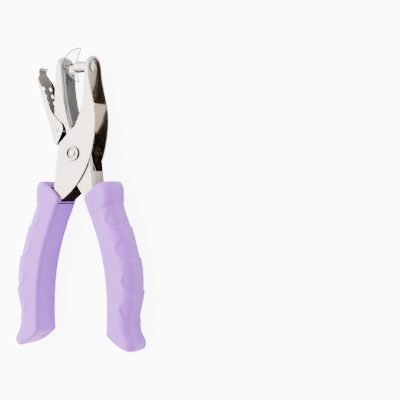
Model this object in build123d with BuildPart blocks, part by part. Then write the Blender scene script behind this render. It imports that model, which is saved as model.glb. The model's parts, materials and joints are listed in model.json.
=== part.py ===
"""Hand-held single hole punch: two crossed steel channel levers on one rivet, with a flared punch,
a die, a clear paper stripper, a swing-out chip tray, a return spring and soft grips.

It is drawn with the pivot axis parallel to Z, close to the origin, and the jaws along +Y, in its rest pose:
handles sprung open and the chip tray swung out to its stop. On export every piece moves by one common
offset, so that the finished part lies on Z = 0, centred on its footprint.
"""

import os
from math import acos, atan2, cos, degrees, radians, sin, sqrt

from build123d import *

os.makedirs("parts", exist_ok=True)

# Driving dimensions, in millimetres and degrees.
PIVOT = (0.0, -1.25)
SHEET = 1.0  # steel sheet of both levers
PUNCH_HALF = 7.0  # outer half width of the punch lever
DIE_HALF = 5.8  # outer half width of the die lever, which runs between the punch lever's cheeks
BEND = 1.2  # outer bend radius between a lever's web and its cheeks
SHORTEST_BEND = 9.0
NOSE_TOP = 46.8  # where both jaws end
SQUEEZE = 6.2  # how far the punch lever turns from rest until the punch is through the die
PUNCH_TILT = -1.7  # slope of the punch axis at rest
DIE_TILT = PUNCH_TILT + SQUEEZE  # slope of the die axis, where the punch axis arrives when squeezed
PUNCH_TIP_RADIUS = 3.0
PUNCH_NECK_RADIUS = 2.8
PUNCH_LENGTH = 8.0  # from the punch lever's web to the cutting tip
PUNCH_TIP = (-1.76, 41.63)  # centre of the cutting tip at rest
DIE_TOP = (-5.05, 41.3)  # centre of the die ring's top face
DIE_BORE_RADIUS = 3.15
DIE_COLLAR_RADIUS = 3.9
DIE_COLLAR_HEIGHT = 0.9
DIE_PLATE = 1.0  # thickness of the strip along the throat of the die lever
DIE_PLATE_HALF = 4.7
DIE_PLATE_END = 12.6
BUSH_RADIUS = 3.5  # of the die bush in its seat
TENON_RADIUS = 1.5  # of the punch pin in its seat
PUNCH_HOLLOW = 0.5  # depth of the cutting tip's hollow face
EDGE = 0.2  # broken edges of small turned parts
FILM = 0.25  # thickness of the paper stripper
FILM_TILT = -3.5  # slope of its middle, which leans away from the die plate
FILM_CURL_RADIUS = 9.3
FILM_HALF_WIDTH = 6.2
FILM_HALF_LENGTH = 8.4
FILM_FORWARD = 1.7  # how far the film's middle lies in front of the die axis
TRAY_HINGE = (-9.6, 10.3)
TRAY_LUG_RADIUS = 2.0
TRAY_TILT = 18.0  # slope of the tray's floor at rest, swung out
TRAY_SHEET = 0.6
TRAY_PIN_RADIUS = 0.8
TRAY_PIN_HEAD_RADIUS = 1.15
TRAY_PIN_HEAD = 0.5
FIRST_CHIP_HOLE = 11.7
CHIP_HOLE_PITCH = 3.75
CHIP_HOLES = 4
CHIP_ROW = 3.3
CHIP_HOLE_RADIUS = 1.1
TRAY_INNER_HALF = 6.1
TRAY_LENGTH = 31.3  # from the hinge to the nose of the tray
TRAY_FLOOR = 2.96  # from the hinge to the tray's outer face
RIVET_RADIUS = 2.2
RUNNING_GAP = 0.05  # radial clearance of every turning fit
RIVET_HEAD_RADIUS = 3.75
SPACER_RADIUS = 2.9
SPRING_WIRE = 1.1
SPRING_TURNS = 4
SPRING_LEG_END = (8.2, -11.35)  # from the pivot
GRIP_HALF = 9.2
SLEEVE = 0.8  # wall of the dark inner sleeve on each tang
ABOVE = 60.0  # a height above both noses
FAR = 80.0  # past every edge of the part

# Outlines in the XY plane. Those of the handles are for the right one, and the left one is its mirror image.
PUNCH_FREE_EDGE = [(8.4, 44), (9.2, 33), (12.2, 18), (11.6, 6.5), (7.8, -7.1), (1.3, -17.1), (-6.2, -23.7)]
TANG_OUTER = [(9.4, -2), (10.2, -9), (11.4, -17.5), (20, -36), (26.0, -54), (27.6, -70), (26.6, -80)]
TANG_INNER = [(6.0, -23.2), (9.0, -26.2), (12.6, -31.5), (16.6, -40), (20.6, -54), (22.3, -70), (21.9, -80)]
GRIP_INNER = [(7.2, -24.6), (11.6, -35.6), (17.2, -54), (19.4, -70), (19.6, -86)]
GRIP_TOE = [(24.6, -93), (30.4, -96), (33.3, -93.4), (31.6, -86.5)]
GRIP_OUTER = [(31.6, -79), (33.2, -66), (31.4, -52), (27, -39), (22.2, -27), (20.9, -19), (18.4, -15.2)]


def direction(degrees):
    """Unit vector in the XY plane, measured from +X."""
    return Vector(cos(radians(degrees)), sin(radians(degrees)))


def square_to(point, degrees):
    """Plane at a point of the XY plane whose normal slopes by so many degrees from +X, with its Y along Z."""
    return Plane(origin=(*point, 0), x_dir=direction(degrees + 90), z_dir=direction(degrees))


def mirrored(points):
    return [(-x, y) for x, y in points]


def shifted(points, dx):
    return [(x + dx, y) for x, y in points]


punch_axis = direction(PUNCH_TILT)
die_axis = direction(DIE_TILT)
punch_seat = Vector(*PUNCH_TIP) + punch_axis * PUNCH_LENGTH  # on the web of the punch lever
die_seat = Vector(*DIE_TOP) - die_axis * (DIE_COLLAR_HEIGHT + DIE_PLATE)  # on the web of the die lever
tray_along = direction(TRAY_TILT + 90)
tray_inward = direction(TRAY_TILT)


def on_line(point, degrees, y):
    """The point at height y on the face line that is square to an axis of that slope."""
    along = direction(degrees + 90)
    return point + along * ((y - point.Y) / along.Y)


def throat_edges(seat, degrees, straight_to, end):
    """The inner edge of a jaw: straight from the nose, then one tangent arc to its end near the pivot."""
    start = on_line(seat, degrees, ABOVE)
    knee = on_line(seat, degrees, straight_to)
    line = Line(start, knee)
    arc = TangentArc(knee, end, tangent=knee - start)
    return line, arc


def jaw_plan(half, nose_centre):
    """Sketch across the jaw, seen along X: a strip as wide as the channel with a round nose."""
    with BuildSketch(Plane.YZ.offset(-FAR)) as plan:
        with Locations((nose_centre - FAR, 0)):
            Rectangle(2 * FAR, 2 * half)
        with Locations((nose_centre, 0)):
            Circle(half)
    return plan.sketch


# ---------------------------------------------------------------- levers
def hollow_part(outline, half, nose_centre):
    """The inside of a channel: the outline between the cheeks, kept one sheet away from the round nose."""
    with BuildPart() as hollow:
        extrude(outline, amount=half - SHEET, both=True)
        extrude(jaw_plan(half - SHEET, nose_centre), amount=2 * FAR, mode=Mode.INTERSECT)
    return hollow.part


def channel(outline, half, nose_centre, web_side, hollow):
    """A stamped lever: its side outline, a round nose, bent corners along its web, and an open inside."""
    with BuildPart() as lever:
        extrude(outline, amount=half, both=True)
        extrude(jaw_plan(half, nose_centre), amount=2 * FAR, mode=Mode.INTERSECT)
        web_faces = lever.faces().filter_by(lambda face: face.normal_at().X * web_side > 0.6)
        rims = [edge for face in web_faces for edge in face.edges()]
        sides = [edge for edge in rims if edge.length > SHORTEST_BEND and abs(edge.center().Z) > half - EDGE]
        nose = [edge for edge in rims if edge.center().Y > nose_centre and edge not in sides]
        fillet(sides + nose, BEND)
        add(hollow, mode=Mode.SUBTRACT)
        with Locations((*PIVOT, 0)):
            Cylinder(RIVET_RADIUS + RUNNING_GAP, 4 * half, mode=Mode.SUBTRACT)
    return lever.part


# The punch lever: its web is on the left all the way, and its cheeks open to the right.
V_BOTTOM = (-0.8, 10.2)
PUNCH_KNEE = 32.0
PUNCH_WEB_END = 23.8
PUNCH_TANG_WEB = -6.0
PUNCH_NOSE_CENTRE = NOSE_TOP - PUNCH_HALF
PUNCH_WAIST = [(-3.6, 7.6), (-8.4, 2.9), (-9.4, -2)]

with BuildSketch() as punch_inside:
    with BuildLine():
        seat_line, seat_arc = throat_edges(
            punch_seat + Vector(SHEET, 0), PUNCH_TILT, PUNCH_KNEE, (V_BOTTOM[0] + SHEET, V_BOTTOM[1])
        )
        tang = Spline(*shifted(mirrored(TANG_OUTER), SHEET * 1.1))
        Polyline(seat_arc @ 1, (-FAR, V_BOTTOM[1]), (-FAR, TANG_OUTER[0][1]), tang @ 0)
        Polyline(tang @ 1, (tang @ 1) + (0, -FAR), (FAR, -2 * FAR), (FAR, ABOVE), seat_line @ 0)
    make_face()
    with Locations((0, (PUNCH_WEB_END + PUNCH_TANG_WEB) / 2)):
        Rectangle(2 * FAR, PUNCH_WEB_END - PUNCH_TANG_WEB)

with BuildSketch() as punch_outline:
    with BuildLine():
        seat_line, seat_arc = throat_edges(punch_seat, PUNCH_TILT, PUNCH_KNEE, V_BOTTOM)
        Polyline(seat_arc @ 1, *PUNCH_WAIST)
        tang = Spline(*mirrored(TANG_OUTER))
        Line(tang @ 1, (-TANG_INNER[-1][0], TANG_INNER[-1][1]))
        inner = Spline(*reversed(mirrored(TANG_INNER)))
        free = Spline(*reversed(PUNCH_FREE_EDGE))
        Line(inner @ 1, free @ 0)
        Polyline(free @ 1, (PUNCH_FREE_EDGE[0][0], ABOVE), seat_line @ 0)
    make_face()

punch_hollow = hollow_part(punch_inside.sketch, PUNCH_HALF, PUNCH_NOSE_CENTRE)
punch_channel = channel(punch_outline.sketch, PUNCH_HALF, PUNCH_NOSE_CENTRE, -1, punch_hollow)

# The die lever: its web is on the right all the way, and its cheeks open to the left, over the chip tray.
DIE_KNEE = 33.0
DIE_THROAT_END = (-1.5, 10.4)
DIE_WEB_END = 8.8
DIE_TANG_WEB = -10.0
DIE_NOSE_CENTRE = NOSE_TOP - DIE_HALF
DIE_SHOULDER = [(2.4, 7.4), (7.0, 2.6), (9.4, -2)]
DIE_BELLY = [(-3.4, -9.0), (-4.6, 0.0), (-4.2, 10.0), (-5.9, 13.6), (-7.0, 14.2), (-7.3, 12.0), (-8.4, 9.0)]
DIE_FREE_EDGE = [(-11.3, 9.4), (-11.1, 16.6), (-10.8, 30), (-10.0, 44)]

with BuildSketch() as die_inside:
    with BuildLine():
        seat_line, seat_arc = throat_edges(
            die_seat - Vector(SHEET, 0), DIE_TILT, DIE_KNEE, (DIE_THROAT_END[0] - SHEET, DIE_THROAT_END[1])
        )
        tang = Spline(*shifted(TANG_OUTER, -SHEET * 1.1))
        Polyline(seat_arc @ 1, (FAR, DIE_THROAT_END[1]), (FAR, TANG_OUTER[0][1]), tang @ 0)
        Polyline(tang @ 1, (tang @ 1) + (0, -FAR), (-FAR, -2 * FAR), (-FAR, ABOVE), seat_line @ 0)
    make_face()
    with Locations((0, (DIE_WEB_END + DIE_TANG_WEB) / 2)):
        Rectangle(2 * FAR, DIE_WEB_END - DIE_TANG_WEB)

with BuildSketch() as die_outline:
    with BuildLine():
        seat_line, seat_arc = throat_edges(die_seat, DIE_TILT, DIE_KNEE, DIE_THROAT_END)
        Polyline(seat_arc @ 1, *DIE_SHOULDER)
        tang = Spline(*TANG_OUTER)
        Line(tang @ 1, TANG_INNER[-1])
        inner = Spline(*reversed(TANG_INNER))
        Polyline(inner @ 1, *DIE_BELLY, DIE_FREE_EDGE[0])
        free = Spline(*DIE_FREE_EDGE)
        Polyline(free @ 1, (DIE_FREE_EDGE[-1][0], ABOVE), seat_line @ 0)
    make_face()
    with Locations(TRAY_HINGE):
        Circle(TRAY_LUG_RADIUS)

die_hollow = hollow_part(die_inside.sketch, DIE_HALF, DIE_NOSE_CENTRE)
die_channel = channel(die_outline.sketch, DIE_HALF, DIE_NOSE_CENTRE, 1, die_hollow)

with BuildPart() as punch_lever:
    add(punch_channel)
    with Locations(square_to(punch_seat, PUNCH_TILT)):
        Cylinder(TENON_RADIUS, 4 * SHEET, mode=Mode.SUBTRACT)

with BuildPart() as die_lever:
    add(die_channel)
    with Locations(square_to(die_seat, DIE_TILT)):
        Cylinder(BUSH_RADIUS, 4 * SHEET, mode=Mode.SUBTRACT)
    with Locations((*TRAY_HINGE, 0)):
        Cylinder(TRAY_PIN_RADIUS, 4 * DIE_HALF, mode=Mode.SUBTRACT)


# ---------------------------------------------------------------- punch and die
def turned(plane, profile):
    """Solid of revolution: a polygon of (along, radius) points, turned about the plane's X axis."""
    with BuildPart() as solid:
        with BuildSketch(plane):
            with BuildLine():
                Polyline(*profile, close=True)
            make_face()
        revolve(axis=Axis(plane.origin, plane.x_dir))
    return solid.part


def axis_plane(point, axis):
    """Plane at a point of the XY plane whose X runs along an axis in that plane."""
    return Plane(origin=(*point, 0), x_dir=axis, z_dir=(0, 0, 1))


NECK_LENGTH = 5.0
FLARE_LENGTH = 0.8
PEEN_HEIGHT = 0.9
PEEN_RADIUS = 2.6

punch_profile = [
    (-SHEET - PEEN_HEIGHT, 0),
    (-SHEET - PEEN_HEIGHT, PEEN_RADIUS * 0.6),
    (-SHEET - PEEN_HEIGHT * 0.5, PEEN_RADIUS),
    (-SHEET, PEEN_RADIUS),
    (-SHEET, TENON_RADIUS),
    (0, TENON_RADIUS),
    (0, PUNCH_NECK_RADIUS),
    (NECK_LENGTH, PUNCH_NECK_RADIUS),
    (NECK_LENGTH + FLARE_LENGTH, PUNCH_TIP_RADIUS),
    (PUNCH_LENGTH, PUNCH_TIP_RADIUS),
    (PUNCH_LENGTH - PUNCH_HOLLOW, 0),
]
with BuildPart() as punch_pin:
    add(turned(axis_plane(punch_seat, -punch_axis), punch_profile))

plate_knee = DIE_KNEE + DIE_PLATE * die_axis.Y

with BuildSketch() as plate_outline:
    with BuildLine():
        low_line, low_arc = throat_edges(die_seat, DIE_TILT, DIE_KNEE, DIE_THROAT_END)
        outward = Vector((low_arc % 1).Y, -(low_arc % 1).X) * -DIE_PLATE
        high_line, high_arc = throat_edges(
            die_seat + die_axis * DIE_PLATE, DIE_TILT, plate_knee, (low_arc @ 1) + outward
        )
        Line(low_line @ 0, high_line @ 0)
        Line(low_arc @ 1, high_arc @ 1)
    make_face()

with BuildPart() as die_plate:
    extrude(plate_outline.sketch, amount=DIE_PLATE_HALF, both=True)
    extrude(jaw_plan(DIE_PLATE_HALF, DIE_NOSE_CENTRE), amount=2 * FAR, mode=Mode.INTERSECT)
    split(bisect_by=Plane.XZ.offset(-DIE_PLATE_END), keep=Keep.BOTTOM)
    with Locations(square_to(die_seat, DIE_TILT)):
        Cylinder(BUSH_RADIUS, 4 * DIE_PLATE, mode=Mode.SUBTRACT)

bush_depth = DIE_COLLAR_HEIGHT + DIE_PLATE + SHEET
bush_profile = [
    (0, DIE_BORE_RADIUS),
    (0, DIE_COLLAR_RADIUS - EDGE),
    (-EDGE, DIE_COLLAR_RADIUS),
    (-DIE_COLLAR_HEIGHT, DIE_COLLAR_RADIUS),
    (-DIE_COLLAR_HEIGHT, BUSH_RADIUS),
    (-bush_depth, BUSH_RADIUS),
    (-bush_depth, DIE_BORE_RADIUS),
]
with BuildPart() as die_bush:
    add(turned(axis_plane(DIE_TOP, die_axis), bush_profile))

# The paper stripper is a strip of film curled about an axis along Z, with an oval outline and one hole.
film_foot = die_seat + die_axis * (DIE_PLATE + RUNNING_GAP)
film_axis = film_foot + direction(FILM_TILT) * FILM_CURL_RADIUS + direction(FILM_TILT + 90) * FILM_FORWARD
film_plane = Plane(origin=(*film_foot, 0), x_dir=direction(FILM_TILT + 90), z_dir=direction(FILM_TILT))

with BuildPart() as paper_stripper:
    with Locations((film_axis.X, film_axis.Y, 0)):
        Cylinder(FILM_CURL_RADIUS, 2 * FILM_HALF_WIDTH)
        Cylinder(FILM_CURL_RADIUS - FILM, 2 * FILM_HALF_WIDTH, mode=Mode.SUBTRACT)
    with BuildSketch(film_plane) as film_outline:
        with Locations((FILM_FORWARD, 0)):
            Ellipse(FILM_HALF_LENGTH, FILM_HALF_WIDTH)
        Circle(DIE_COLLAR_RADIUS + RUNNING_GAP, mode=Mode.SUBTRACT)
    extrude(film_outline.sketch, amount=FILM_CURL_RADIUS, both=True, mode=Mode.INTERSECT)

# ---------------------------------------------------------------- chip tray
# Its side walls in the tray's own plane: X along the floor from the hinge, Y from the floor's outer face.
TRAY_WALL = [(27, 0.8), (22, 1.8), (19, 2.4), (13.6, 2.6), (8.8, 3.3), (4.3, 5.4), (1.2, 6.8), (-1.1, 6.4)]
TRAY_TAIL = [(-3.2, 4.6), (-6.6, 1.2)]
TRAY_END = -6.9
TAB_HALF = 3.6
TAB_RADIUS = 2.2

tray_floor_point = Vector(*TRAY_HINGE) - tray_inward * TRAY_FLOOR
tray_side = Plane(origin=(*tray_floor_point, 0), x_dir=tray_along, z_dir=(0, 0, -1))
tray_top = Plane(origin=(*tray_floor_point, 0), x_dir=tray_along, z_dir=tray_inward)
tray_half = TRAY_INNER_HALF + TRAY_SHEET
tray_nose = TRAY_LENGTH - tray_half


def tray_plan(half):
    """Sketch of the tray from above: parallel sides and a round nose."""
    with BuildSketch(tray_top) as plan:
        with Locations((tray_nose - FAR, 0)):
            Rectangle(2 * FAR, 2 * half)
        with Locations((tray_nose, 0)):
            Circle(half)
    return plan.sketch


with BuildSketch(tray_side) as tray_outline:
    with BuildLine():
        wall = Spline((TRAY_LENGTH, TRAY_SHEET), *TRAY_WALL)
        Polyline(wall @ 1, *TRAY_TAIL, (TRAY_END, 0), (TRAY_LENGTH, 0), wall @ 0)
    make_face()

with BuildSketch(tray_side) as tab_outline:
    with BuildLine():
        tab_tip = (TRAY_LENGTH + TAB_RADIUS, TAB_RADIUS)
        tab_inner_tip = (TRAY_LENGTH + TAB_RADIUS - TRAY_SHEET, TAB_RADIUS)
        RadiusArc((TRAY_LENGTH, 0), tab_tip, -TAB_RADIUS)
        Line(tab_tip, tab_inner_tip)
        RadiusArc(tab_inner_tip, (TRAY_LENGTH, TRAY_SHEET), TAB_RADIUS - TRAY_SHEET)
        Polyline((TRAY_LENGTH, TRAY_SHEET), (tray_nose, TRAY_SHEET), (tray_nose, 0), (TRAY_LENGTH, 0))
    make_face()

with BuildPart() as chip_tray:
    extrude(tray_outline.sketch, amount=tray_half, both=True)
    extrude(tray_plan(tray_half), amount=FAR, mode=Mode.INTERSECT)
    with BuildSketch(tray_top.offset(TRAY_SHEET)):
        add(tray_plan(TRAY_INNER_HALF))
    extrude(amount=FAR, mode=Mode.SUBTRACT)
    extrude(tab_outline.sketch, amount=TAB_HALF, both=True)
    with Locations(tray_top):
        with Locations((FIRST_CHIP_HOLE + CHIP_HOLE_PITCH * (CHIP_HOLES - 1) / 2, 0, 0)):
            with GridLocations(CHIP_HOLE_PITCH, 2 * CHIP_ROW, CHIP_HOLES, 2):
                Cylinder(CHIP_HOLE_RADIUS, 4 * TRAY_SHEET, mode=Mode.SUBTRACT)
    with Locations((*TRAY_HINGE, 0)):
        Cylinder(TRAY_PIN_RADIUS + RUNNING_GAP, 4 * tray_half, mode=Mode.SUBTRACT)

pin_end = tray_half + RUNNING_GAP
with BuildPart() as tray_hinge_pin:
    with Locations((*TRAY_HINGE, 0)):
        Cylinder(TRAY_PIN_RADIUS, 2 * pin_end)
    for side in (1, -1):
        with Locations((*TRAY_HINGE, side * (pin_end + TRAY_PIN_HEAD / 2))):
            Cylinder(TRAY_PIN_HEAD_RADIUS, TRAY_PIN_HEAD)
    outer_rims = tray_hinge_pin.edges().filter_by(GeomType.CIRCLE).group_by(Axis.Z)
    fillet(outer_rims[0] + outer_rims[-1], TRAY_PIN_HEAD * 0.8)

# ---------------------------------------------------------------- pivot
RING_CREST = 3.1  # radius of the rolled ring round the front head
RING_HEIGHT = 1.1
GROOVE_RADIUS = 2.5  # the ring's inner foot
GROOVE_HEIGHT = 0.35
BUTTON_RADIUS = 1.9
BUTTON_HEIGHT = 1.0
BUTTON_EDGE = 0.45
FRONT_EDGE = 0.3
BACK_HEAD = 1.3
BACK_EDGE = 0.2
head_base = PUNCH_HALF + RUNNING_GAP

with BuildPart() as pivot_rivet:
    with BuildSketch(Plane(origin=(*PIVOT, 0), x_dir=(1, 0, 0), z_dir=(0, -1, 0))):
        with BuildLine():
            button_top = (0, head_base + BUTTON_HEIGHT)
            button_foot = (BUTTON_RADIUS, head_base + BUTTON_EDGE)
            groove = (GROOVE_RADIUS, head_base + GROOVE_HEIGHT)
            front_rim = (RIVET_HEAD_RADIUS, head_base + FRONT_EDGE)
            back_rim = (RIVET_HEAD_RADIUS, -head_base - BACK_EDGE)
            back_top = (0, -head_base - BACK_HEAD)
            TangentArc(button_top, button_foot, tangent=(1, 0))
            Line(button_foot, groove)
            ThreePointArc(groove, (RING_CREST, head_base + RING_HEIGHT), front_rim)
            Polyline(
                front_rim,
                (RIVET_HEAD_RADIUS, head_base),
                (RIVET_RADIUS, head_base),
                (RIVET_RADIUS, -head_base),
                (RIVET_HEAD_RADIUS, -head_base),
                back_rim,
            )
            TangentArc(back_top, back_rim, tangent=(1, 0))
            Line(back_top, button_top)
        make_face()
    revolve(axis=Axis((*PIVOT, 0), (0, 0, 1)))

with BuildPart() as pivot_spacer:
    with Locations((*PIVOT, 0)):
        Cylinder(SPACER_RADIUS, 2 * (DIE_HALF - SHEET))
        Cylinder(RIVET_RADIUS + RUNNING_GAP, 2 * (DIE_HALF - SHEET), mode=Mode.SUBTRACT)

# The spring is wound round the spacer; its two legs press outwards on the webs of the two tangs.
coil_radius = SPACER_RADIUS + SPRING_WIRE / 2 + 2 * RUNNING_GAP
leg_reach = sqrt(SPRING_LEG_END[0] ** 2 + SPRING_LEG_END[1] ** 2)
leg_leaves = degrees(atan2(SPRING_LEG_END[1], SPRING_LEG_END[0]) + acos(coil_radius / leg_reach))
coil_pitch = SPRING_WIRE * 1.05
coil_turns = SPRING_TURNS + (180 - 2 * leg_leaves) / 360
coil_half = coil_pitch * coil_turns / 2


def on_coil(turned_by):
    """The wire's centre line so many degrees round from where the right leg leaves the coil."""
    angle = leg_leaves + turned_by
    height = coil_pitch * turned_by / 360 - coil_half
    return Vector(*PIVOT, height) + direction(angle) * coil_radius


coil_steps = round(coil_turns * 12)
coil_points = [on_coil(360 * coil_turns * step / coil_steps) for step in range(coil_steps + 1)]
right_leg_end = Vector(*PIVOT) + Vector(*SPRING_LEG_END, -coil_half)
left_leg_end = Vector(*PIVOT) + Vector(-SPRING_LEG_END[0], SPRING_LEG_END[1], coil_half)
right_leg = [right_leg_end, right_leg_end * 0.5 + coil_points[0] * 0.5]
left_leg = [coil_points[-1] * 0.5 + left_leg_end * 0.5, left_leg_end]

with BuildPart() as return_spring:
    with BuildLine() as spring_wire:
        Spline(*right_leg, *coil_points, *left_leg)
    with BuildSketch(Plane(origin=right_leg_end, z_dir=spring_wire.line % 0)):
        Circle(SPRING_WIRE / 2)
    sweep()

# ---------------------------------------------------------------- sleeves and grips
MOUTH = [(8.0, -29.0), (7.6, -25.6), (12.6, -17.4)]  # the sleeves' upper edge
PUNCH_CORE = [(9.7, -14.2), (1.6, -19.2), (6.6, -24.0), (14, -34)]
DIE_CORE = [(9.7, -14.2), (4.6, -20.0), (6.9, -23.8), (14, -34)]
GRIP_ROUND = 2.0
FUNNEL = [(13.0, -15.0), (17.4, -12.0), (18.2, -19), (15.6, -26), (9.0, -25)]
FUNNEL_HALF = 8.2


def handle_side(side, points):
    """Points of the right handle (side 1), or their mirror images (side -1)."""
    return [(side * x, y) for x, y in points]


def beside(points, distance):
    """A curve's neighbour: nine points at a distance to the left of the spline through some points."""
    curve = Spline(*points)
    spots = [step / 8 for step in range(9)]
    return [(curve @ spot) + (curve % spot).rotate(Axis.Z, 90) * distance for spot in spots]


def sleeve_outline(side):
    """The tang, thickened all round by the sleeve's wall."""
    outside = beside(handle_side(side, TANG_OUTER), side * SLEEVE)
    inside = beside(handle_side(side, TANG_INNER), -side * SLEEVE)
    toe = Vector(0, -SLEEVE)
    with BuildSketch() as outline:
        with BuildLine():
            outer = Spline(*outside)
            inner = Spline(*inside)
            Polyline(outer @ 1, (outer @ 1) + toe, (inner @ 1) + toe, inner @ 1)
            Line(outer @ 0, inner @ 0)
        make_face()
    return outline.sketch


def above_mouth(side):
    """Everything that lies above the sleeve's sloping mouth."""
    around = [(FAR, MOUTH[-1][1]), (FAR, FAR), (-FAR, FAR), (-FAR, MOUTH[0][1])]
    with BuildSketch() as region:
        with BuildLine():
            Polyline(*handle_side(side, MOUTH + around), close=True)
        make_face()
    return region.sketch


def sleeve(side, lever_half, lever, core):
    """A moulded liner that wraps one tang, and whose core fills the channel a little way past the mouth."""
    with BuildPart() as liner:
        extrude(sleeve_outline(side), amount=lever_half + SLEEVE, both=True)
        extrude(above_mouth(side), amount=2 * lever_half, both=True, mode=Mode.SUBTRACT)
        with BuildSketch():
            with BuildLine():
                Polyline(*handle_side(side, core), close=True)
            make_face()
        extrude(amount=lever_half - SHEET, both=True)
        add(lever, mode=Mode.SUBTRACT)
    return liner.part


def grip(side, lever_half):
    """A soft handle cover: closed at its toe, open at its mouth, with the sleeved tang inside."""
    with BuildPart() as cover:
        with BuildSketch():
            with BuildLine():
                around = Spline(*handle_side(side, GRIP_INNER + GRIP_TOE + GRIP_OUTER))
                Line(around @ 1, around @ 0)
            make_face()
        extrude(amount=GRIP_HALF, both=True)
        fillet(cover.edges().filter_by(lambda edge: abs(edge.center().Z) > GRIP_HALF - EDGE), GRIP_ROUND)
        extrude(sleeve_outline(side), amount=lever_half + SLEEVE, both=True, mode=Mode.SUBTRACT)
        with BuildSketch():
            with BuildLine():
                Polyline(*handle_side(side, FUNNEL), close=True)
            make_face()
        extrude(amount=FUNNEL_HALF, both=True, mode=Mode.SUBTRACT)
    return cover.part


with BuildPart() as punch_tang_sleeve:
    add(sleeve(-1, PUNCH_HALF, punch_lever.part, PUNCH_CORE))

with BuildPart() as die_tang_sleeve:
    add(sleeve(1, DIE_HALF, die_lever.part, DIE_CORE))

with BuildPart() as punch_grip:
    add(grip(-1, PUNCH_HALF))

with BuildPart() as die_grip:
    add(grip(1, DIE_HALF))

# ---------------------------------------------------------------- export
pieces = {
    "punch_lever": punch_lever,
    "die_lever": die_lever,
    "punch_pin": punch_pin,
    "die_plate": die_plate,
    "die_bush": die_bush,
    "paper_stripper": paper_stripper,
    "chip_tray": chip_tray,
    "tray_hinge_pin": tray_hinge_pin,
    "pivot_rivet": pivot_rivet,
    "pivot_spacer": pivot_spacer,
    "return_spring": return_spring,
    "punch_tang_sleeve": punch_tang_sleeve,
    "die_tang_sleeve": die_tang_sleeve,
    "punch_grip": punch_grip,
    "die_grip": die_grip,
}
whole = Compound([piece.part for piece in pieces.values()]).bounding_box()
to_floor = Vector(-whole.center().X, -whole.center().Y, -whole.min.Z)

for name, piece in pieces.items():
    placed = piece.part.moved(Location(to_floor))
    placed.label = name
    export_step(placed, f"parts/{name}.step")
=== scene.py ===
"""A hand-held single hole punch with soft lavender grips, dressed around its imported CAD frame.

The grips, the paper stripper and the spring are meshes made here. Every other part is its CAD node, with a
finish of plated metal, ground metal or rubber. Lengths in this script are millimetres from the origin that the
CAD model is drawn around, near the pivot: X towards the punch jaw, Y towards the jaws, Z up. place() turns them
into metres.
"""
import json
from math import asin, cos, exp, pi, radians, sin

import bpy
import numpy as np
from mathutils import Matrix, Vector


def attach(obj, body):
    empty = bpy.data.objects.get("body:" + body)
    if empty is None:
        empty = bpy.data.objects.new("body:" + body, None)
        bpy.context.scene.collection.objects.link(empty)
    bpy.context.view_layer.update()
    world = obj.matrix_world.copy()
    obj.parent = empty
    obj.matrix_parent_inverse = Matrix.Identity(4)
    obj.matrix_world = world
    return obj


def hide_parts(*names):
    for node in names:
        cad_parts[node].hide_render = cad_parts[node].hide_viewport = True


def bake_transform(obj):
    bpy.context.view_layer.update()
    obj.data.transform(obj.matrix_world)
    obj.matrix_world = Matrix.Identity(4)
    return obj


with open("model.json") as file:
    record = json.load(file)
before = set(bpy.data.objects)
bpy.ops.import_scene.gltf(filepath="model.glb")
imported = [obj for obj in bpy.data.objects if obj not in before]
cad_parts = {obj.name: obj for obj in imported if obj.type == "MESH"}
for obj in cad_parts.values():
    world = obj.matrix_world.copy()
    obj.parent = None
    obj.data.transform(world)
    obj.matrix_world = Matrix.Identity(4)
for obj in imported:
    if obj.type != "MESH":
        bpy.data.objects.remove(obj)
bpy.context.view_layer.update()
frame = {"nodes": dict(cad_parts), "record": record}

MM = 0.001
JOINTS = {joint["name"]: joint for joint in frame["record"]["behaviour"]["joints"]}
PIVOT_Y = -1.25  # of the main rivet, in the drawing
ORIGIN = Vector(JOINTS["squeeze"]["pos_m"]) - Vector((0, PIVOT_Y, 0)) * MM
NODES = frame["nodes"]


def place(x, y, z=0.0):
    """A point in millimetres from the drawing's origin, in metres in the shared frame."""
    return ORIGIN + Vector((x, y, z)) * MM


# ---------------------------------------------------------------- meshes
def mesh_piece(name, points, faces, material):
    """A new smooth-shaded object from points in millimetres and its material."""
    mesh = bpy.data.meshes.new(name)
    mesh.from_pydata([tuple(place(*point)) for point in points], [], faces)
    mesh.validate()
    mesh.update()
    piece = bpy.data.objects.new(name, mesh)
    bpy.context.scene.collection.objects.link(piece)
    mesh.materials.append(material)
    for face in mesh.polygons:
        face.use_smooth = True
    return piece


def smooth_curve(points, count):
    """Points spread along the natural cubic spline through some points, in two dimensions."""
    points = np.array(points, float)
    knots = np.concatenate([[0], np.cumsum(np.linalg.norm(np.diff(points, axis=0), axis=1))])
    step = np.diff(knots)
    size = len(points)
    system = np.eye(size)
    slopes = np.zeros((size, 2))
    for i in range(1, size - 1):
        system[i, i - 1] = step[i - 1]
        system[i, i] = 2 * (step[i - 1] + step[i])
        system[i, i + 1] = step[i]
        slopes[i] = 6 * ((points[i + 1] - points[i]) / step[i] - (points[i] - points[i - 1]) / step[i - 1])
    bend = np.linalg.solve(system, slopes)
    out = []
    for t in np.linspace(0, knots[-1], count):
        i = min(np.searchsorted(knots, t, side="right") - 1, size - 2)
        a, b, h = knots[i + 1] - t, t - knots[i], step[i]
        out.append(
            (bend[i] * a**3 + bend[i + 1] * b**3) / (6 * h)
            + (points[i] / h - bend[i] * h / 6) * a
            + (points[i + 1] / h - bend[i + 1] * h / 6) * b
        )
    return np.array(out)


def smooth_step(value):
    """From 0 to 1 with soft ends, as the value goes from 0 to 1."""
    value = np.clip(value, 0, 1)
    return value * value * (3 - 2 * value)


FLAT_STEPS, INNER_CORNER_STEPS, FACE_STEPS, OUTER_CORNER_STEPS, OUTER_STEPS = 14, 6, 18, 14, 26
ROUND_LIMIT = 0.98  # of half the height
INNER_ROUND_LIMIT, OUTER_ROUND_LIMIT = 0.45, 0.52  # of the width
CROWN_STARTS = 0.6  # of the way across


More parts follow.
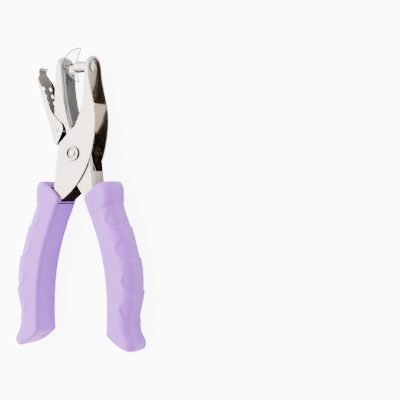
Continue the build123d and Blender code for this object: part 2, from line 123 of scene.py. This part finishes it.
def ring(width, half, round_in, round_out, crown=0.0):
    """A rounded rectangle of (across, up) points: its flat inner face is at across = 0, where it begins."""
    round_in = min(round_in, half * ROUND_LIMIT, width * INNER_ROUND_LIMIT)
    round_out = min(round_out, half * ROUND_LIMIT, width * OUTER_ROUND_LIMIT)
    runs = []

    def line(start, end, steps):
        runs.extend((np.array(start) + (np.array(end) - start) * k / steps) for k in range(steps))

    def corner(centre, radius, first, steps):
        for k in range(steps):
            angle = radians(first - 90 * k / steps)
            runs.append(np.array(centre) + radius * np.array((cos(angle), sin(angle))))

    line((0.0, round_in - half), (0.0, half - round_in), FLAT_STEPS)
    corner((round_in, half - round_in), round_in, 180, INNER_CORNER_STEPS)
    line((round_in, half), (width - round_out, half), FACE_STEPS)
    corner((width - round_out, half - round_out), round_out, 90, OUTER_CORNER_STEPS)
    line((width, half - round_out), (width, round_out - half), OUTER_STEPS)
    corner((width - round_out, round_out - half), round_out, 0, OUTER_CORNER_STEPS)
    line((width - round_out, -half), (round_in, -half), FACE_STEPS)
    corner((round_in, round_in - half), round_in, -90, INNER_CORNER_STEPS)
    points = np.array(runs)
    outwards = smooth_step((points[:, 0] / width - CROWN_STARTS) / (1 - CROWN_STARTS))
    points[:, 0] += crown * outwards * (1 - (points[:, 1] / half) ** 2)
    return points


def bridge(ring_size, first, second, flip):
    """The quads between two rings of points that start at these indices."""
    quads = []
    for k in range(ring_size):
        after = (k + 1) % ring_size
        quad = (first + k, first + after, second + after, second + k)
        quads.append(quad[::-1] if flip else quad)
    return quads


# ---------------------------------------------------------------- grips
# Side outlines of the right handle, from the mouth to the toe; the left handle is its mirror image.
GRIP_INNER = [(7.2, -24.6), (9.2, -29.6), (13.0, -39.5), (17.1, -54), (19.2, -70), (19.3, -87.6)]
GRIP_OUTER = [
    (19.6, -15.8), (20.6, -17.5), (20.95, -22.4), (23.8, -31.4), (28.0, -42), (31.2, -52), (33.2, -64),
    (32.7, -73), (31.3, -81), (31.1, -86.2), (32.5, -90.8), (33.8, -93.9), (33.0, -96.2),
]
STATIONS = 150  # rings along the skin
HALF = 8.9  # half the thickness
INNER_ROUND, OUTER_ROUND = 1.7, 5.2
INNER_ROUND_LEAST, OUTER_ROUND_LEAST = 0.5, 0.6
CROWN = 0.5
END_STEPS = 6

COLLAR_RISE = 0.25
COLLAR_LENGTH = 8.8
COLLAR_STEP = 1.8
COLLAR_SHARPER = 1.4  # how much smaller the outer round is there
LIP_ROUND = 1.2
LIP_BOW, LIP_BOW_LENGTH = 1.4, 14

TOE_ROUND = 1.6
TOE_SHARPER, TOE_LENGTH = 1.2, 14
TOE_BOW, TOE_BOW_LENGTH = 1.1, 10

POCKET_INNER = [(7.7, -25.1), (9.6, -28.0), (12.2, -32), (16.0, -40), (19.9, -54), (21.8, -70), (22.0, -80.6)]
POCKET_OUTER = [(18.2, -17.2), (17.2, -21), (16.4, -25.4), (20.8, -36), (26.9, -54), (28.4, -70), (27.5, -80.6)]
POCKET_STATIONS = 60
POCKET_HALF = {1: 6.6, -1: 7.8}  # the left liner is taller, as it goes round the outer lever's tang
POCKET_INNER_ROUND, POCKET_OUTER_ROUND = 1.2, 1.4
MOUTH_HALF = 8.1
MOUTH_STATIONS = 9
MOUTH_ROUNDER = 1.2
MOUTH_BOW = 1.2

DIMPLE_YS = (-32.0, -47.4, -63.6, -78.0)
DIMPLE_LENGTH = 6.6  # half of it, along the grip
DIMPLE_WIDTH = 12.0  # half of it, round the grip
DIMPLE_DEPTH = 0.85
DIMPLE_EDGE = 0.1  # how much of the way to a dimple's middle its rim takes up
DIMPLE_REACH = 1.4  # in dimple lengths, how far its raised lip is looked for
DIMPLE_REACH_SQUARED = 1.7
DIMPLE_MIDDLE_SHARE, DIMPLE_SIDE_SHARE = 0.12, 0.95  # of the depth: the sides are pressed in most
DIMPLE_MEAN_SHARE, DIMPLE_SLOPE = 0.62, 0.45  # of the depth: the end nearer the toe is deeper
LIP_HEIGHT = 0.4
LIP_PLACE, LIP_SPREAD = 1.05, 0.07  # of a dimple's size


def grip_mesh(side):
    """Points and faces of one hollow grip: outer skin, rounded lip and toe, and the pocket for the liner."""
    inner = smooth_curve(GRIP_INNER, STATIONS)
    outer = smooth_curve(GRIP_OUTER, STATIONS)
    along = np.concatenate([[0], np.cumsum(np.linalg.norm(np.diff(outer, axis=0), axis=1))])
    rings = []

    def section(station, inset, advance):
        """The skin's ring at a station, shrunk by the inset and moved ahead by the advance."""
        start, end = inner[station], outer[station]
        across = (end - start) / np.linalg.norm(end - start)
        forward = np.array((-across[1], across[0]))
        distance = along[station]
        to_toe = along[-1] - distance
        collar = 1 - smooth_step((distance - COLLAR_LENGTH) / COLLAR_STEP)
        half = HALF + COLLAR_RISE * collar
        width = np.linalg.norm(end - start) + COLLAR_RISE * collar
        round_out = OUTER_ROUND - COLLAR_SHARPER * collar - TOE_SHARPER * smooth_step(1 - to_toe / TOE_LENGTH)
        outline = ring(
            width - 2 * inset,
            half - inset,
            max(INNER_ROUND - inset, INNER_ROUND_LEAST),
            max(round_out - inset, OUTER_ROUND_LEAST),
            CROWN,
        )
        bow = LIP_BOW * (1 - smooth_step(distance / LIP_BOW_LENGTH))
        bow -= TOE_BOW * smooth_step(1 - to_toe / TOE_BOW_LENGTH)
        points = []
        for u, v in outline:
            u += inset
            arch = bow * sin(pi * min(max(u / width, 0), 1))
            spot = start + across * u + forward * (arch + advance)
            points.append([spot[0], spot[1], v])
        return np.array(points)

    # The toe's cap, then the skin up to the mouth, then over the lip.
    for k in range(END_STEPS):
        angle = pi / 2 * (1 - k / END_STEPS)
        rings.append(section(STATIONS - 1, TOE_ROUND * (1 - cos(angle)), -TOE_ROUND * sin(angle)))
    skin_first = len(rings)
    for station in range(STATIONS - 1, -1, -1):
        rings.append(section(station, 0.0, 0.0))
    skin_last = len(rings)
    for k in range(1, END_STEPS + 1):
        angle = pi / 2 * k / END_STEPS
        rings.append(section(0, LIP_ROUND * (1 - cos(angle)), LIP_ROUND * sin(angle)))
    press_dimples(rings, skin_first, skin_last, along)

    pocket_inner = smooth_curve(POCKET_INNER, POCKET_STATIONS)
    pocket_outer = smooth_curve(POCKET_OUTER, POCKET_STATIONS)
    for step in range(POCKET_STATIONS):
        start, end = pocket_inner[step], pocket_outer[step]
        width = np.linalg.norm(end - start)
        across = (end - start) / width
        mouth = 1 - smooth_step(step / MOUTH_STATIONS)
        half = POCKET_HALF[side] + (MOUTH_HALF - POCKET_HALF[side]) * mouth
        outline = ring(width, half, POCKET_INNER_ROUND, POCKET_OUTER_ROUND + MOUTH_ROUNDER * mouth)
        forward = np.array((-across[1], across[0]))
        points = []
        for u, v in outline:
            spot = start + across * u + forward * MOUTH_BOW * mouth * sin(pi * u / width)
            points.append([spot[0], spot[1], v])
        rings.append(np.array(points))
    return closed_rings(rings, side)


def press_dimples(rings, first, last, along):
    """Presses the finger dimples into the outer side of the skin, each with a raised lip round it."""
    middle = FLAT_STEPS + INNER_CORNER_STEPS + FACE_STEPS + OUTER_CORNER_STEPS + OUTER_STEPS // 2
    stack = np.array(rings[first:last])
    spine = stack[:, middle, :]
    for centre_y in DIMPLE_YS:
        row = int(np.argmin(abs(spine[:, 1] - centre_y)))
        reach = int(DIMPLE_LENGTH * DIMPLE_REACH / (along[1] - along[0])) + 2
        along_sign = np.sign(spine[row + 1, 1] - spine[row - 1, 1])
        for i in range(max(row - reach, 1), min(row + reach, len(stack) - 1)):
            tangent = spine[i + 1] - spine[i - 1]
            tangent /= np.linalg.norm(tangent)
            length = float(np.dot(spine[i] - spine[row], tangent))
            girth = np.linalg.norm(np.diff(stack[i], axis=0, append=stack[i][:1]), axis=1)
            walked = np.concatenate([[0], np.cumsum(girth)])[:-1]
            hub = stack[i].mean(axis=0)
            for k in range(len(walked)):
                round_middle = walked[k] - walked[middle]
                squared = (length / DIMPLE_LENGTH) ** 2 + (round_middle / DIMPLE_WIDTH) ** 2
                if squared >= DIMPLE_REACH_SQUARED:
                    continue
                sideways = DIMPLE_MIDDLE_SHARE + DIMPLE_SIDE_SHARE * abs(round_middle) / DIMPLE_WIDTH
                towards_toe = DIMPLE_MEAN_SHARE - DIMPLE_SLOPE * length * along_sign / DIMPLE_LENGTH
                rim = smooth_step((1 - squared**0.5) / DIMPLE_EDGE)
                lip = LIP_HEIGHT * exp(-(((squared**0.5 - LIP_PLACE) / LIP_SPREAD) ** 2))
                depth = (DIMPLE_DEPTH * rim - lip) * sideways * towards_toe
                before, after = stack[i][k - 1], stack[i][(k + 1) % len(walked)]
                inward = np.cross(after - before, tangent)
                inward /= np.linalg.norm(inward)
                if np.dot(inward, hub - stack[i][k]) < 0:
                    inward = -inward
                rings[first + i][k] = stack[i][k] + inward * depth


def closed_rings(rings, side):
    """Points and faces of a skin through rings of points, closed with a cap at each end."""
    size = len(rings[0])
    points = [tuple(point) for one in rings for point in one]
    faces = []
    flip = side < 0
    for k in range(len(rings) - 1):
        faces += bridge(size, k * size, (k + 1) * size, flip)
    for last_ring, reverse in ((0, flip), (len(rings) - 1, not flip)):
        centre = np.mean(rings[last_ring], axis=0)
        rim = last_ring * size
        for scale in (0.75, 0.5, 0.25):
            first = len(points)
            points += [tuple(centre + (point - centre) * scale) for point in rings[last_ring]]
            faces += bridge(size, rim, first, not reverse)
            rim = first
        points.append(tuple(centre))
        hub = len(points) - 1
        for k in range(size):
            spoke = (rim + k, rim + (k + 1) % size, hub)
            faces.append(spoke[::-1] if not reverse else spoke)
    return [(side * x, y, z) for x, y, z in points], faces


# ---------------------------------------------------------------- materials
# Lengths in materials are metres.
def new_material(name):
    """A material with only a Principled shader, wired to its output; also its node tree and the shader."""
    material = bpy.data.materials.new(name)
    material.use_nodes = True
    tree = material.node_tree
    tree.nodes.clear()
    output = tree.nodes.new("ShaderNodeOutputMaterial")
    shader = tree.nodes.new("ShaderNodeBsdfPrincipled")
    tree.links.new(shader.outputs["BSDF"], output.inputs["Surface"])
    return material, tree, shader


def noise(tree, scale, detail=3.0, roughness=0.5, stretch=(1, 1, 1)):
    """A noise texture in object space, in cells per metre, stretched along some axes."""
    where = tree.nodes.new("ShaderNodeTexCoord")
    mapping = tree.nodes.new("ShaderNodeMapping")
    mapping.inputs["Scale"].default_value = stretch
    texture = tree.nodes.new("ShaderNodeTexNoise")
    texture.inputs["Scale"].default_value = scale
    texture.inputs["Detail"].default_value = detail
    texture.inputs["Roughness"].default_value = roughness
    tree.links.new(where.outputs["Object"], mapping.inputs["Vector"])
    tree.links.new(mapping.outputs["Vector"], texture.inputs["Vector"])
    return texture.outputs["Fac"]


def ramp(tree, factor, stops):
    """A colour ramp from (position, colour) stops."""
    node = tree.nodes.new("ShaderNodeValToRGB")
    elements = node.color_ramp.elements
    while len(elements) < len(stops):
        elements.new(0.5)
    for element, (position, colour) in zip(elements, stops):
        element.position = position
        element.color = (*colour, 1)
    tree.links.new(factor, node.inputs["Fac"])
    return node.outputs["Color"]


def grey(value):
    return (value, value, value)


def coordinate(tree, kind, axis):
    """One axis of a texture coordinate, such as the Z of the surface's normal."""
    where = tree.nodes.new("ShaderNodeTexCoord")
    parts = tree.nodes.new("ShaderNodeSeparateXYZ")
    tree.links.new(where.outputs[kind], parts.inputs["Vector"])
    return parts.outputs[axis]


def calculate(tree, operation, *values):
    """A math node on sockets and numbers."""
    node = tree.nodes.new("ShaderNodeMath")
    node.operation = operation
    for value, entry in zip(values, node.inputs):
        if isinstance(value, (int, float)):
            entry.default_value = value
        else:
            tree.links.new(value, entry)
    return node.outputs["Value"]


def bump(tree, height, strength, distance, normal=None):
    """The normal of a surface that a height map makes uneven, by a distance in metres."""
    node = tree.nodes.new("ShaderNodeBump")
    node.inputs["Strength"].default_value = strength
    node.inputs["Distance"].default_value = distance
    tree.links.new(height, node.inputs["Height"])
    if normal is not None:
        tree.links.new(normal, node.inputs["Normal"])
    return node.outputs["Normal"]


# Painted shade: these colours multiply a metal's colour in grooves, recesses and channels, so these stay dark
# in any light.
GROOVE_PAINTED_SHADE = (0.12, 0.11, 0.10)
RECESS_PAINTED_SHADE = (0.7, 0.64, 0.58)
# Painted shade of a channel's inner side walls and floor, and of the tray's inside:
CHEEK_PAINTED_SHADE = (0.24, 0.205, 0.18)  # of a channel's side walls, inside
WEB_PAINTED_SHADE = (0.8, 0.74, 0.68)  # of a lever's channel floor
TRAY_PAINTED_SHADE = (0.12, 0.108, 0.1)


def channel_shade_masks(tree, inward):
    """Two masks for painted shade, on the web's inner face, which has this normal, and on the cheeks' inner
    faces.
    """
    where = tree.nodes.new("ShaderNodeTexCoord")
    facing = tree.nodes.new("ShaderNodeVectorMath")
    facing.operation = "DOT_PRODUCT"
    facing.inputs[1].default_value = inward
    tree.links.new(where.outputs["Normal"], facing.inputs[0])
    web = ramp(tree, facing.outputs["Value"], [(0.45, grey(0)), (0.7, grey(1))])
    # A cheek's inner face looks towards mid-height, so its normal and its height there have opposite signs.
    below = calculate(tree, "SUBTRACT", ORIGIN.z, coordinate(tree, "Object", "Z"))
    product = calculate(tree, "MULTIPLY", below, coordinate(tree, "Normal", "Z"))
    cheek = ramp(tree, product, [(0.002, grey(0)), (0.003, grey(1))])
    return web, cheek


def tinted(tree, colour, mask, tint):
    """The colour, times the tint where the mask is 1."""
    product = tree.nodes.new("ShaderNodeVectorMath")
    product.operation = "MULTIPLY"
    tree.links.new(colour, product.inputs[0])
    tree.links.new(ramp(tree, mask, [(0, grey(1.0)), (1, tint)]), product.inputs[1])
    return product.outputs["Vector"]


def metal(
    name, light, dark, rough, brushed=0.0, wavy=0.0, reach=None, inward=None, web_painted_shade=None, dust=0.0,
    slope_painted_shade=None,
):
    """Plated or ground metal: cloudy colour, uneven gloss, faint sheet waviness and fine scratches.

    Painted shade darkens the colour in grooves and deep inside a channel: reach is how wide a groove counts as
    deep, and inward is the normal of a channel's inner web, whose face and the cheeks' inner faces get painted
    shade as well. The slope tint is painted shade on the faces that aren't flat on top. Dust makes the surface
    a little less metallic.
    """
    material, tree, shader = new_material(name)
    shader.inputs["Metallic"].default_value = 1.0 - dust
    clouds = noise(tree, 220, 4, 0.6)
    colour = ramp(tree, clouds, [(0.3, dark), (0.7, light)])
    # Painted shade in grooves and recesses, where ambient occlusion finds them shut in.
    if reach:
        openness = tree.nodes.new("ShaderNodeAmbientOcclusion")
        openness.inputs["Distance"].default_value = reach
        openness.samples = 8
        groove_shade_mask = ramp(tree, openness.outputs["AO"], [(0.5, grey(1)), (0.95, grey(0))])
        colour = tinted(tree, colour, groove_shade_mask, GROOVE_PAINTED_SHADE if inward is None else RECESS_PAINTED_SHADE)
    # Painted shade on the inner faces of a channel's web and cheeks.
    if inward:
        web, cheek = channel_shade_masks(tree, inward)
        colour = tinted(tree, tinted(tree, colour, web, web_painted_shade), cheek, CHEEK_PAINTED_SHADE)
    # Painted shade on faces that slope away from the top, such as the rivet's rolled ring.
    if slope_painted_shade:
        flatness = calculate(tree, "ABSOLUTE", coordinate(tree, "Normal", "Z"))
        sloping = ramp(tree, flatness, [(0.6, grey(1)), (0.93, grey(0))])
        colour = tinted(tree, colour, sloping, slope_painted_shade)
    tree.links.new(colour, shader.inputs["Base Color"])
    grain = noise(tree, 1400, 3, 0.6)
    gloss = ramp(tree, grain, [(0.25, grey(rough * 0.75)), (0.8, grey(rough * 1.35))])
    tree.links.new(gloss, shader.inputs["Roughness"])
    normal = bump(tree, noise(tree, 130, 1, 0.4), wavy, 0.0006)
    if brushed:
        lines = noise(tree, 900, 4, 0.65, (0.06, 1, 1))
        normal = bump(tree, lines, brushed, 0.00004, normal)
    tree.links.new(normal, shader.inputs["Normal"])
    return material


def rubber(name, base, shade, texture_depth, sheen, gloss):
    """Soft matt rubber: a little colour drift, a fine moulded grain and a soft sheen."""
    material, tree, shader = new_material(name)
    drift = noise(tree, 90, 3, 0.55)
    tree.links.new(ramp(tree, drift, [(0.3, shade), (0.7, base)]), shader.inputs["Base Color"])
    fine = noise(tree, 3800, 2, 0.5)
    tree.links.new(ramp(tree, fine, [(0.3, grey(0.4)), (0.7, grey(0.5))]), shader.inputs["Roughness"])
    shader.inputs["Specular IOR Level"].default_value = gloss
    shader.inputs["Sheen Weight"].default_value = sheen
    shader.inputs["Sheen Roughness"].default_value = 0.5
    shader.inputs["Subsurface Weight"].default_value = 0.12
    shader.inputs["Subsurface Radius"].default_value = (0.9, 0.6, 1.0)
    shader.inputs["Subsurface Scale"].default_value = 0.0015
    normal = bump(tree, fine, texture_depth, 0.00005)
    normal = bump(tree, noise(tree, 260, 2, 0.5), 0.12, 0.0002, normal)
    tree.links.new(normal, shader.inputs["Normal"])
    return material


def film_material():
    """Clear plastic film, seen mostly by its reflections and its cut edge."""
    material, tree, shader = new_material("clear film")
    haze = ramp(tree, noise(tree, 500, 2, 0.5), [(0.3, (0.90, 0.92, 0.94)), (0.7, (0.97, 0.98, 1.0))])
    tree.links.new(haze, shader.inputs["Base Color"])
    gloss = ramp(tree, noise(tree, 700, 2, 0.5), [(0.3, grey(0.03)), (0.7, grey(0.09))])
    tree.links.new(gloss, shader.inputs["Roughness"])
    shader.inputs["IOR"].default_value = 1.49
    shader.inputs["Alpha"].default_value = 0.16
    tree.links.new(bump(tree, noise(tree, 90, 1, 0.4), 0.2, 0.0003), shader.inputs["Normal"])
    material.surface_render_method = "BLENDED"
    return material


def film_edge_shade_material():
    """The film's cut edge, painted dark grey as shade: the real edge carries light along the sheet and looks
    grey against a pale ground.
    """
    material, tree, shader = new_material("film edge")
    shade = ramp(tree, noise(tree, 600, 2, 0.5), [(0.3, grey(0.025)), (0.7, grey(0.05))])
    tree.links.new(shade, shader.inputs["Base Color"])
    shader.inputs["Roughness"].default_value = 0.25
    shader.inputs["Specular IOR Level"].default_value = 0.3
    return material


def nickel_plate(name, reach, inward=None, web_painted_shade=None, dust=0.15, slope_painted_shade=None):
    """Bright nickel on stamped steel."""
    light, dark = (0.66, 0.60, 0.52), (0.62, 0.56, 0.485)
    return metal(
        name, light, dark, rough=0.12, brushed=0.05, wavy=0.2, reach=reach, inward=inward,
        web_painted_shade=web_painted_shade, dust=dust, slope_painted_shade=slope_painted_shade,
    )


GROOVE_REACH = 0.0018
# The plain nickel gets painted shade in its grooves.
nickel = nickel_plate("nickel plate", GROOVE_REACH)
# The ground steel gets painted shade in its grooves too.
tool_steel = metal(
    "ground steel", (0.62, 0.60, 0.57), (0.50, 0.485, 0.46), rough=0.18, brushed=0.25, wavy=0.1, reach=0.002
)
spring_steel = metal("spring wire", (0.42, 0.41, 0.40), (0.30, 0.29, 0.28), rough=0.28, brushed=0.3, wavy=0.1)
lavender = rubber(
    "lavender rubber", (0.47, 0.105, 0.83), (0.45, 0.095, 0.81), texture_depth=0.25, sheen=0.25, gloss=0.3
)
# The liner's maroon is made near-black: partly its own dark colour, partly painted shade for the shadow deep in
# the grip's mouth.
maroon = rubber(
    "maroon liner", (0.014, 0.001, 0.002), (0.009, 0.001, 0.001), texture_depth=0.15, sheen=0.0, gloss=0.01
)

FINISHES = {
    "nickel_steel": nickel,
    "tool_steel": tool_steel,
    "spring_steel": spring_steel,
    "clear_film": film_material(),
    "maroon_sleeve": maroon,
    "lavender_grip": lavender,
}
OWN_FINISHES = {
    # The rivet gets painted shade in its groove and on its sloping faces.
    "pivot_rivet": nickel_plate("nickel plate of the rivet", GROOVE_REACH, dust=0.0, slope_painted_shade=GROOVE_PAINTED_SHADE),
    # The levers and the tray get painted shade deep inside their channels.
    "punch_lever": nickel_plate("nickel plate of the punch lever", 0.014, (1, 0, 0), WEB_PAINTED_SHADE),
    "die_lever": nickel_plate("nickel plate of the die lever", 0.014, (-1, 0, 0), WEB_PAINTED_SHADE),
    "chip_tray": nickel_plate("nickel plate of the tray", 0.008, (0.951, 0.309, 0), TRAY_PAINTED_SHADE),
    "die_plate": metal(
        "matt tool steel", (0.17, 0.17, 0.175), (0.14, 0.14, 0.145), rough=0.5, brushed=0.2, wavy=0.1
    ),
}
for entry in frame["record"]["subparts"]:
    node = NODES[entry["node"]]
    node.data.materials.clear()
    node.data.materials.append(OWN_FINISHES.get(entry["node"]) or FINISHES[entry["material_slot"]])

# ---------------------------------------------------------------- pieces
for side, body, node in ((1, "die_arm", "die_grip"), (-1, "punch_arm", "punch_grip")):
    points, faces = grip_mesh(side)
    cover = mesh_piece(f"soft_{node}", points, faces, lavender)
    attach(cover, body)
    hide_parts(node)


# The return spring is wound round the pivot spacer, with one leg on the web of each tang.
WIRE_RADIUS = 0.55
COIL_RADIUS = 3.55
COIL_TURNS = 4.392
COIL_PITCH = 1.155
LEG_LEAVES = 19.4  # degrees round the coil
LEG_END = (8.2, -11.35)  # from the pivot, on the right
COIL_STEPS = 130
LEG_STEPS = 6
WIRE_SIDES = 12


def tube(path, radius, sides, closed=False):
    """Points and faces of a round tube along a path of points, with a flat cap at each open end."""
    path = [Vector(point) for point in path]
    count = len(path)
    points, faces = [], []
    side = None
    for k in range(count):
        before = path[(k - 1) % count] if closed else path[max(k - 1, 0)]
        after = path[(k + 1) % count] if closed else path[min(k + 1, count - 1)]
        ahead = (after - before).normalized()
        if side is None:
            side = ahead.orthogonal().normalized()
        side = (side - ahead * side.dot(ahead)).normalized()
        other = ahead.cross(side)
        for m in range(sides):
            angle = 2 * pi * m / sides
            points.append(tuple(path[k] + (side * cos(angle) + other * sin(angle)) * radius))
    for k in range(count if closed else count - 1):
        faces += bridge(sides, k * sides, ((k + 1) % count) * sides, False)
    if not closed:
        faces.append(tuple(range(sides))[::-1])
        faces.append(tuple((count - 1) * sides + m for m in range(sides)))
    return points, faces


def spring_path():
    """The wire's centre line: a leg on the right tang, the coil, and a leg on the left tang."""
    low = -COIL_PITCH * COIL_TURNS / 2
    coil = []
    for k in range(COIL_STEPS + 1):
        turned = 360 * COIL_TURNS * k / COIL_STEPS
        angle = radians(LEG_LEAVES + turned)
        height = low + COIL_PITCH * turned / 360
        coil.append(Vector((COIL_RADIUS * cos(angle), COIL_RADIUS * sin(angle), height)))
    right_end, left_end = Vector((*LEG_END, low)), Vector((-LEG_END[0], LEG_END[1], -low))
    right_leg = [right_end.lerp(coil[0], k / LEG_STEPS) for k in range(LEG_STEPS)]
    left_leg = [coil[-1].lerp(left_end, k / LEG_STEPS) for k in range(1, LEG_STEPS + 1)]
    return [point + Vector((0, PIVOT_Y, 0)) for point in right_leg + coil + left_leg]


points, faces = tube(spring_path(), WIRE_RADIUS, WIRE_SIDES)
wire = mesh_piece("torsion_spring", points, faces, spring_steel)
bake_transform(wire)
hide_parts("return_spring")

# The paper stripper: a curled oval of clear film with a hole for the die ring, and a glossy rim round its cut
# edge coloured dark grey as painted shade.
FILM_TILT = -3.5
FILM_ON_PLATE = (-5.93, 41.23)  # the hole's middle, on the die's face
FILM_CURL = 9.3  # the curl's radius
FILM_FORWARD = 1.7  # from the hole's middle to the oval's middle
FILM_LONG, FILM_WIDE = 8.4, 6.2  # half the length and half the width
FILM_HOLE = 3.95  # the hole's radius
FILM_LIFT, FILM_THICK = 0.02, 0.22  # the back and front faces, from the plate
FILM_RIM, FILM_RIM_SIDES = 0.3, 8
FILM_ROUND, FILM_OUTWARD = 72, 12


def film_point(along, across, lift):
    """A point of the film: along the die's face, across it, and lifted off the film's middle."""
    swing = asin(max(-1, min(1, (along - FILM_FORWARD) / FILM_CURL)))
    out = FILM_CURL - (FILM_CURL - lift) * cos(swing)
    on = FILM_FORWARD + (FILM_CURL - lift) * sin(swing)
    slope = radians(FILM_TILT)
    x = FILM_ON_PLATE[0] + out * cos(slope) - on * sin(slope)
    y = FILM_ON_PLATE[1] + out * sin(slope) + on * cos(slope)
    return (x, y, across)


def film_mesh():
    """Points and faces of both faces of the film and its cut edges, then of the rim."""
    angles = [2 * pi * k / FILM_ROUND for k in range(FILM_ROUND)]
    edge = [(FILM_FORWARD + FILM_LONG * cos(angle), FILM_WIDE * sin(angle)) for angle in angles]
    hole = [(FILM_HOLE * cos(angle), FILM_HOLE * sin(angle)) for angle in angles]
    points, faces = [], []
    for lift in (FILM_LIFT, FILM_THICK):
        for step in range(FILM_OUTWARD + 1):
            t = step / FILM_OUTWARD
            for (a, b), (c, d) in zip(hole, edge):
                points.append(film_point(a + (c - a) * t, b + (d - b) * t, lift))
    layer = (FILM_OUTWARD + 1) * FILM_ROUND
    for step in range(FILM_OUTWARD):
        faces += bridge(FILM_ROUND, step * FILM_ROUND, (step + 1) * FILM_ROUND, True)
        faces += bridge(FILM_ROUND, layer + step * FILM_ROUND, layer + (step + 1) * FILM_ROUND, False)
    faces += bridge(FILM_ROUND, 0, layer, False)
    faces += bridge(FILM_ROUND, layer - FILM_ROUND, 2 * layer - FILM_ROUND, True)
    rim_path = [film_point(along, across, FILM_THICK / 2) for along, across in edge]
    rim_points, rim_faces = tube(rim_path, FILM_RIM, FILM_RIM_SIDES, closed=True)
    clear_faces = len(faces)
    faces += [tuple(index + len(points) for index in face) for face in rim_faces]
    return points + rim_points, faces, clear_faces


points, faces, clear_faces = film_mesh()
film = mesh_piece("curled_film", points, faces, FINISHES["clear_film"])
# The rim gets the dark grey painted shade.
film.data.materials.append(film_edge_shade_material())
for face in film.data.polygons[clear_faces:]:
    face.material_index = 1
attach(film, "die_arm")
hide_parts("paper_stripper")

# ---------------------------------------------------------------- floor, light and camera
# The floor glows so that the ground looks white, and its glow lights nothing but itself.
FLOOR_HALF = 4.0
FLOOR_GLOW = 8.0
floor_mesh = bpy.data.meshes.new("floor")
corners = [(x * FLOOR_HALF, y * FLOOR_HALF, 0) for x, y in ((-1, -1), (1, -1), (1, 1), (-1, 1))]
floor_mesh.from_pydata(corners, [], [(0, 1, 2, 3)])
floor = bpy.data.objects.new("floor", floor_mesh)
bpy.context.scene.collection.objects.link(floor)
white, _, white_shader = new_material("pale floor")
white_shader.inputs["Base Color"].default_value = (0.95, 0.95, 0.95, 1)
white_shader.inputs["Roughness"].default_value = 0.9
white_shader.inputs["Specular IOR Level"].default_value = 0.1
white_shader.inputs["Emission Color"].default_value = (1, 1, 1, 1)
white_shader.inputs["Emission Strength"].default_value = FLOOR_GLOW
floor_mesh.materials.append(white)
only_floor = bpy.data.collections.new("lit by the floor")
only_floor.objects.link(floor)
floor.light_linking.receiver_collection = only_floor


def soft_light(name, position, width, height, power):
    """An area light that faces the middle of the floor; lengths are in metres and power in watts."""
    data = bpy.data.lights.new(name, "AREA")
    data.shape = "RECTANGLE"
    data.size = width
    data.size_y = height
    data.energy = power
    light = bpy.data.objects.new(name, data)
    light.location = position
    light.rotation_euler = (-Vector(position)).to_track_quat("-Z", "Y").to_euler()
    bpy.context.scene.collection.objects.link(light)


soft_light("key", (-0.58, 0.28, 0.92), 1.6, 1.6, 37.0)
soft_light("left", (-0.95, -0.25, 0.4), 0.7, 1.2, 7.0)
soft_light("right", (0.95, 0.25, 0.3), 0.2, 0.8, 1.2)

# The studio is bright on the left and at both ends, and dark on the right, where the channels open.
STUDIO_STRENGTH = 2.6
DARK_SIDE = (0.17, 0.173, 0.185)
LEFT_STOPS = [(0.0, grey(1.0)), (0.22, DARK_SIDE)]
END_STOPS = [(0.06, grey(0.5)), (0.2, DARK_SIDE), (0.85, DARK_SIDE), (0.95, grey(0.8))]
world = bpy.data.worlds.new("studio")
bpy.context.scene.world = world
world.use_nodes = True
world_tree = world.node_tree
background = world_tree.nodes["Background"]
background.inputs["Strength"].default_value = STUDIO_STRENGTH
sideways = ramp(world_tree, coordinate(world_tree, "Generated", "X"), LEFT_STOPS)
lengthways = calculate(world_tree, "MULTIPLY_ADD", coordinate(world_tree, "Generated", "Y"), 0.5, 0.5)
ends = ramp(world_tree, lengthways, END_STOPS)
shade = world_tree.nodes.new("ShaderNodeVectorMath")
shade.operation = "MAXIMUM"
world_tree.links.new(sideways, shade.inputs[0])
world_tree.links.new(ends, shade.inputs[1])
world_tree.links.new(shade.outputs["Vector"], background.inputs["Color"])

# The camera looks down on the punch, 31 degrees to the side of the pivot axis, with the jaws up. It aims to the
# right of the target and a little below it, so that the target is left of the picture's middle and above it.
VIEW_TILT = 31.0
VIEW_DISTANCE = 573.6
VIEW_TARGET_Y = -20.0
LENS = 103.7
SENSOR_WIDTH = 36.0
LEFT_OF_CENTRE, ABOVE_CENTRE = 59.7044, 4.2365

tilt = radians(VIEW_TILT)
target = place(0, VIEW_TARGET_Y)
camera_data = bpy.data.cameras.new("camera")
camera_data.lens = LENS
camera_data.sensor_width = SENSOR_WIDTH
camera = bpy.data.objects.new("camera", camera_data)
camera.location = target + Vector((sin(tilt), 0, cos(tilt))) * VIEW_DISTANCE * MM
aim = target + (Vector((cos(tilt), 0, -sin(tilt))) * LEFT_OF_CENTRE - Vector((0, ABOVE_CENTRE, 0))) * MM
forward = (aim - camera.location).normalized()
right = forward.cross(Vector((0, 1, 0))).normalized()
up = right.cross(forward)
camera.rotation_euler = Matrix((right, up, -forward)).transposed().to_euler()
bpy.context.scene.collection.objects.link(camera)
bpy.context.scene.camera = camera
